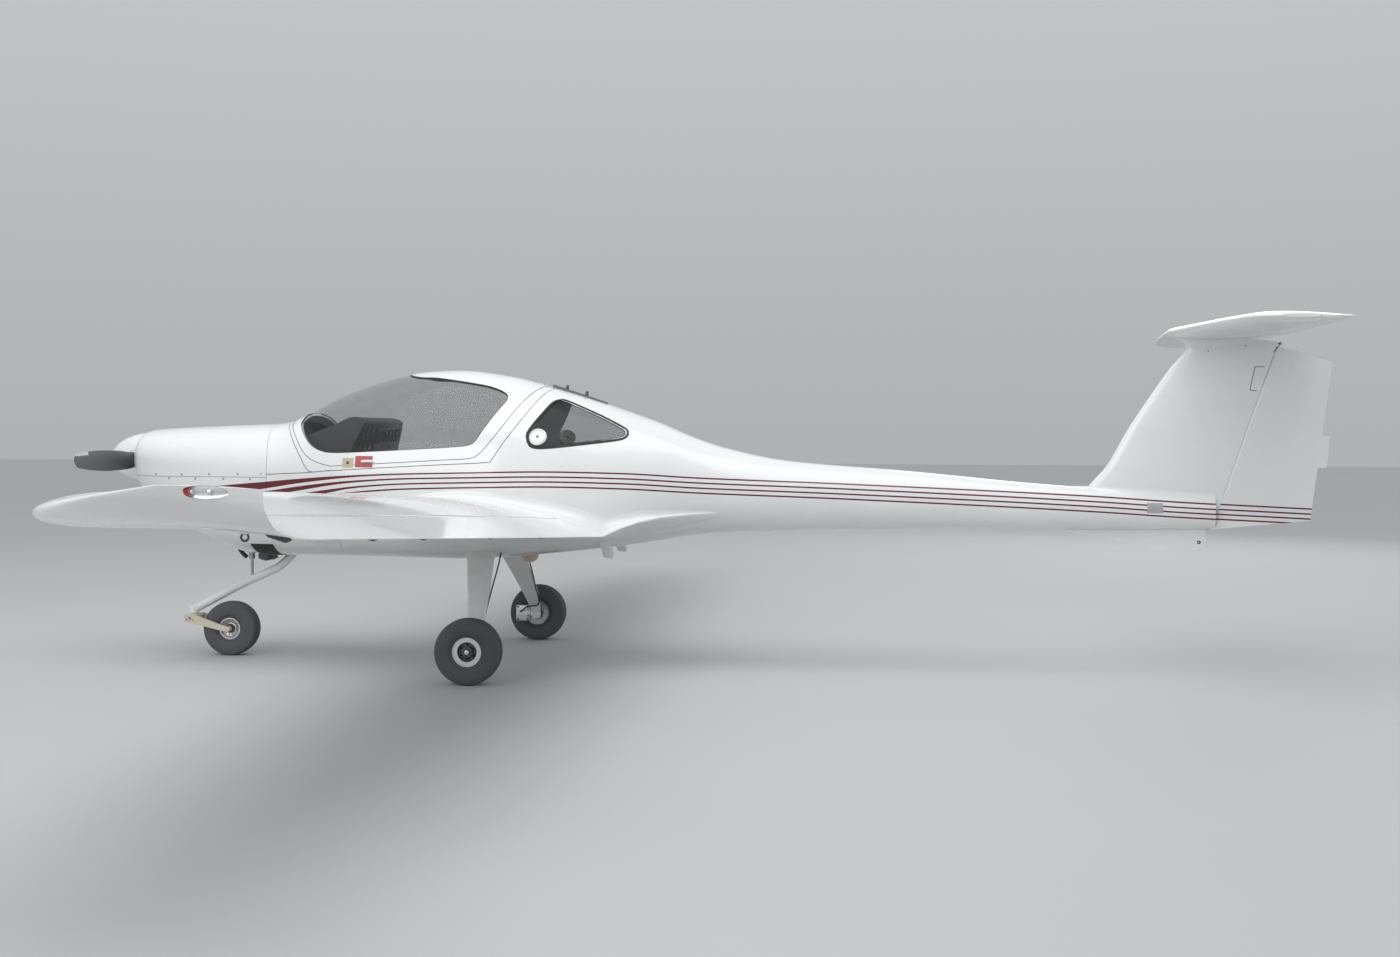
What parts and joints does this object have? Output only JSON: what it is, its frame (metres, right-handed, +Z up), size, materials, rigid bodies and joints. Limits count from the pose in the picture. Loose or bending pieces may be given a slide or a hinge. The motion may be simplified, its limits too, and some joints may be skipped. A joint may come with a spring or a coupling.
{
  "type": "light aircraft",
  "caption": "Low-wing light training aircraft with a T-tail, fixed tricycle landing gear, a rear-hinged bubble canopy and a tractor propeller.",
  "frame": {"origin": "on the ground, under the middle of the aircraft's length and span", "axes": "+X points aft to the tail, +Y to the right wing tip, +Z up"},
  "size_m": [7.188, 10.87, 1.9785],
  "materials": {
    "white_paint": "gloss",
    "leg_paint": "gloss",
    "fork_paint": "satin",
    "strut_steel": "satin",
    "wheel_alloy": "satin",
    "tyre_rubber": "matte",
    "engine_iron": "matte",
    "blade_black": "satin",
    "black_plastic": "matte",
    "grey_plastic": "satin",
    "cream_plastic": "satin",
    "seat_cover": "matte",
    "glazing": "gloss",
    "lens_red": "gloss",
    "lens_green": "gloss"
  },
  "bodies": {
    "airframe": {"fuselage_shell": "white_paint", "cowl_upper": "white_paint", "cowl_lower": "white_paint", "wing_left": "white_paint", "wing_right": "white_paint", "stabilizer": "white_paint", "ventral_fin": "white_paint", "main_leg_left": "leg_paint", "main_leg_right": "leg_paint", "nose_leg": "leg_paint", "pitot_probe": "leg_paint", "nose_strut": "strut_steel", "exhaust_pipe": "strut_steel", "brake_left": "wheel_alloy", "brake_right": "wheel_alloy", "engine_block": "engine_iron", "instrument_panel": "black_plastic", "control_sticks": "black_plastic", "air_outlet": "black_plastic", "centre_console": "grey_plastic", "roof_rail": "grey_plastic", "belly_antenna": "cream_plastic", "seat_left": "seat_cover", "seat_right": "seat_cover", "rear_window_left": "glazing", "rear_window_right": "glazing", "nav_light_left": "lens_red", "nav_light_right": "lens_green"},
    "canopy": {"canopy_frame": "white_paint", "canopy_glass": "glazing"},
    "flap_left": {"flap_left": "white_paint"},
    "flap_right": {"flap_right": "white_paint"},
    "aileron_left": {"aileron_left": "white_paint"},
    "aileron_right": {"aileron_right": "white_paint"},
    "elevator": {"elevator": "white_paint"},
    "rudder": {"rudder": "white_paint"},
    "propeller": {"spinner": "white_paint", "propeller_blades": "blade_black"},
    "main_wheel_left": {"main_wheel_left_tyre": "tyre_rubber", "main_wheel_left_rim": "wheel_alloy"},
    "main_wheel_right": {"main_wheel_right_tyre": "tyre_rubber", "main_wheel_right_rim": "wheel_alloy"},
    "nose_fork": {"nose_fork": "fork_paint"},
    "nose_wheel": {"nose_wheel_tyre": "tyre_rubber", "nose_wheel_rim": "wheel_alloy"}
  },
  "joints": [
    {"name": "canopy_lift", "type": "hinge", "parent": "airframe", "child": "canopy", "pos_m": [-0.868, 0, 1.636], "axis": [0, 1, 0], "range_deg": [0, 55]},
    {"name": "flap_right_hinge", "type": "hinge", "parent": "airframe", "child": "flap_right", "pos_m": [-0.72133, 0.655, 0.83889], "axis": [-0.0174, 0.998, 0.0613], "range_deg": [0, 45]},
    {"name": "flap_left_hinge", "type": "hinge", "parent": "airframe", "child": "flap_left", "pos_m": [-0.72133, -0.655, 0.83889], "axis": [0.0174, 0.998, -0.0613], "range_deg": [0, 45]},
    {"name": "aileron_right_hinge", "type": "hinge", "parent": "airframe", "child": "aileron_right", "pos_m": [-0.77081, 3.503, 1.01369], "axis": [0.0088, 0.9984, 0.0561], "range_deg": [-15, 15]},
    {"name": "aileron_left_hinge", "type": "hinge", "parent": "airframe", "child": "aileron_left", "pos_m": [-0.77081, -3.503, 1.01369], "axis": [-0.0088, 0.9984, -0.0561], "range_deg": [-15, 15]},
    {"name": "elevator_hinge", "type": "hinge", "parent": "airframe", "child": "elevator", "pos_m": [3.165, 0, 1.938], "axis": [0, 1, 0], "range_deg": [-15, 13]},
    {"name": "rudder_hinge", "type": "hinge", "parent": "airframe", "child": "rudder", "pos_m": [2.938, 0, 0.79], "axis": [0.3189, 0, 0.9478], "range_deg": [-27, 27]},
    {"name": "propeller_spin", "type": "hinge", "parent": "airframe", "child": "propeller", "pos_m": [-3.392, 0, 1.195], "axis": [1, 0, 0], "continuous": true},
    {"name": "main_wheel_left_spin", "type": "hinge", "parent": "airframe", "child": "main_wheel_left", "pos_m": [-1.149, -0.95, 0.17846], "axis": [0, 1, 0], "continuous": true},
    {"name": "main_wheel_right_spin", "type": "hinge", "parent": "airframe", "child": "main_wheel_right", "pos_m": [-1.149, 0.95, 0.17846], "axis": [0, 1, 0], "continuous": true},
    {"name": "nose_caster", "type": "hinge", "parent": "airframe", "child": "nose_fork", "pos_m": [-3.085, 0, 0.247], "axis": [0, 0, 1], "range_deg": [-60, 60]},
    {"name": "nose_wheel_spin", "type": "hinge", "parent": "nose_fork", "child": "nose_wheel", "pos_m": [-2.846, 0, 0.1626], "axis": [0, 1, 0], "continuous": true}
  ],
  "couplings": [
    {"joint": "flap_left_hinge", "follows": "flap_right_hinge", "ratio": 1},
    {"joint": "aileron_left_hinge", "follows": "aileron_right_hinge", "ratio": -1}
  ]
}
